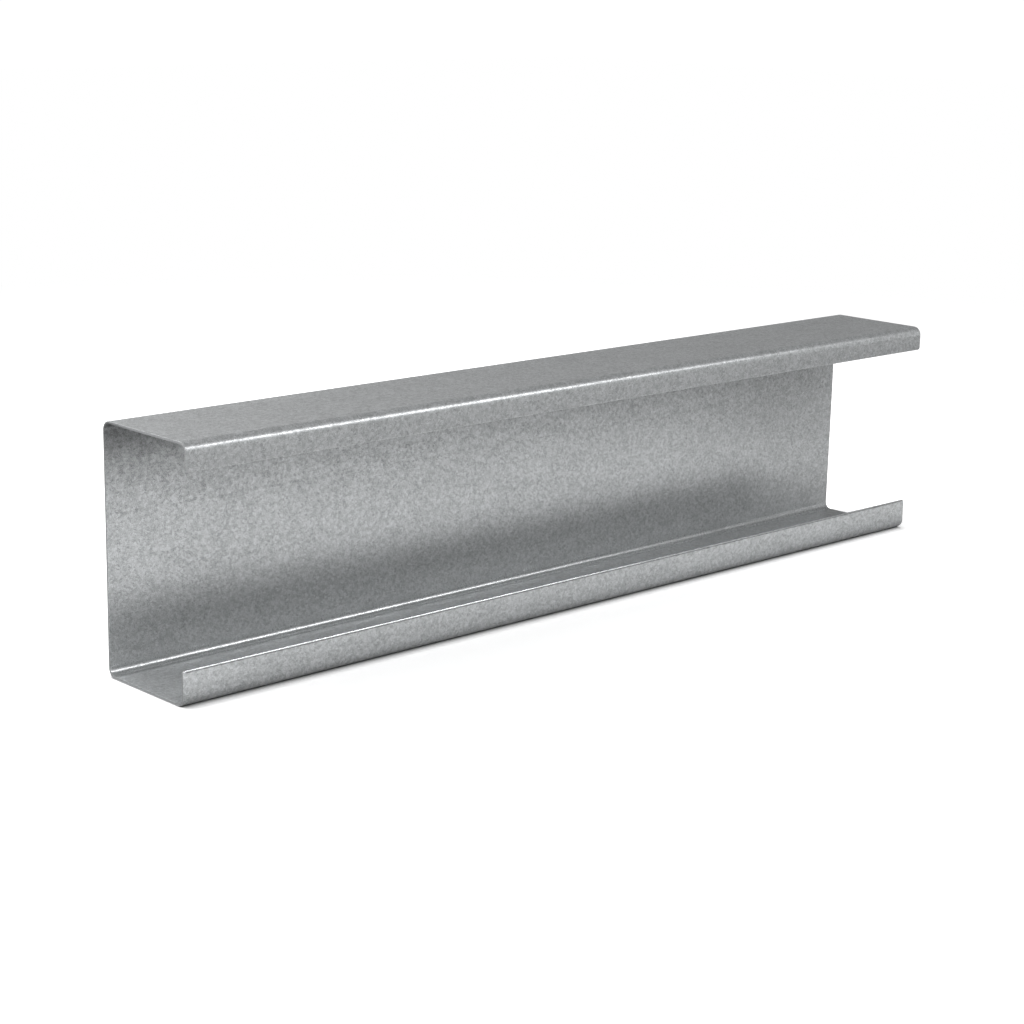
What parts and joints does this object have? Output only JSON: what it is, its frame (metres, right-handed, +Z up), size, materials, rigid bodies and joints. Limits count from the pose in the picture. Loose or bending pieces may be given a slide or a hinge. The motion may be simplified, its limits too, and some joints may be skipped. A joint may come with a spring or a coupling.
{
  "type": "c-purlin",
  "caption": "Roll-formed galvanised steel lipped channel with square-cut ends, a plain web and no holes, standing on its lower flange; roof and wall framing stock.",
  "frame": {"origin": "on the floor, in the middle of the lower flange's resting face", "axes": "+X along the purlin, +Y out of the back of the web, +Z up through the upper flange"},
  "size_m": [0.436, 0.054, 0.102],
  "materials": {
    "galvanised_sheet": "hot-dip galvanised, fine mottled spangle, satin"
  },
  "bodies": {
    "root": {"purlin": "galvanised_sheet"}
  },
  "joints": []
}
